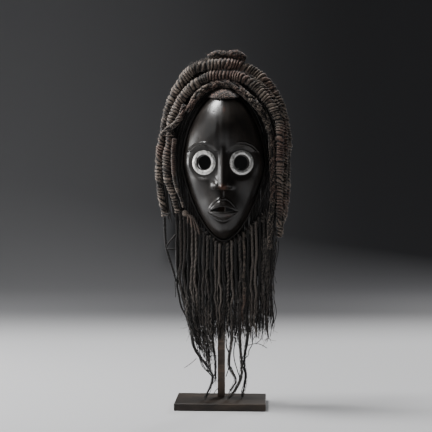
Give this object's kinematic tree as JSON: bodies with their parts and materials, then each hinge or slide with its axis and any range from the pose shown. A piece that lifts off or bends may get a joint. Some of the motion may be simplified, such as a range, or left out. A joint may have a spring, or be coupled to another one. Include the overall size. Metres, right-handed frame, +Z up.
{
  "type": "dan mask on a stand",
  "caption": "Hollow carved wooden face mask with round metal eye rings, a wrapped coil headdress and a long cord beard, held upright by a square post on a flat plate.",
  "frame": {"origin": "middle of the base plate's underside, on the surface that the stand rests on", "axes": "+Z up along the post, the face looks along -Y, +X to the right as seen from the front"},
  "size_m": [0.2279, 0.1106, 0.5934],
  "materials": {
    "dark_wood": "carved hardwood, blackened, oiled and polished by handling, with reddish wear",
    "tin_ring": "thin silvery sheet, dull, dented",
    "coil_fibre": "plant fibre wrapped with thread, dusty brown",
    "beard_fibre": "twisted and plaited black fibre cords, dry",
    "felted_fibre": "felted reddish-brown fibre with a fine weave",
    "patinated_steel": "dark brown patinated plate, semi-gloss"
  },
  "bodies": {
    "root": {"wooden_face": "dark_wood", "left_eye_ring": "tin_ring", "right_eye_ring": "tin_ring", "forehead_pad": "felted_fibre", "outer_coil": "coil_fibre", "second_coil": "coil_fibre", "inner_coil": "coil_fibre", "shoulder_coil": "coil_fibre", "temple_braid": "coil_fibre", "inner_left_lock": "coil_fibre", "rear_coil": "coil_fibre", "topknot": "coil_fibre", "beard_roll": "beard_fibre", "beard_knot": "felted_fibre", "hanging_stray_cord": "beard_fibre", "left_jaw_lock_1": "beard_fibre", "left_jaw_lock_2": "beard_fibre", "left_jaw_lock_3": "beard_fibre", "right_jaw_lock_1": "beard_fibre", "right_jaw_lock_2": "beard_fibre", "right_jaw_lock_3": "beard_fibre", "beard_cord_01": "beard_fibre", "beard_cord_02": "beard_fibre", "beard_cord_03": "beard_fibre", "beard_cord_04": "beard_fibre", "beard_cord_05": "beard_fibre", "beard_cord_06": "beard_fibre", "beard_cord_07": "beard_fibre", "beard_cord_08": "beard_fibre", "beard_cord_09": "beard_fibre", "beard_cord_10": "beard_fibre", "beard_cord_11": "beard_fibre", "beard_cord_12": "beard_fibre", "beard_cord_13": "beard_fibre", "beard_cord_14": "beard_fibre", "beard_cord_15": "beard_fibre", "beard_cord_16": "beard_fibre", "beard_cord_17": "beard_fibre", "beard_cord_18": "beard_fibre", "beard_cord_19": "beard_fibre", "beard_cord_20": "beard_fibre", "beard_cord_21": "beard_fibre", "beard_cord_22": "beard_fibre", "beard_cord_23": "beard_fibre", "beard_cord_24": "beard_fibre", "beard_cord_25": "beard_fibre", "stand_post": "patinated_steel", "stand_base": "patinated_steel"}
  },
  "joints": []
}
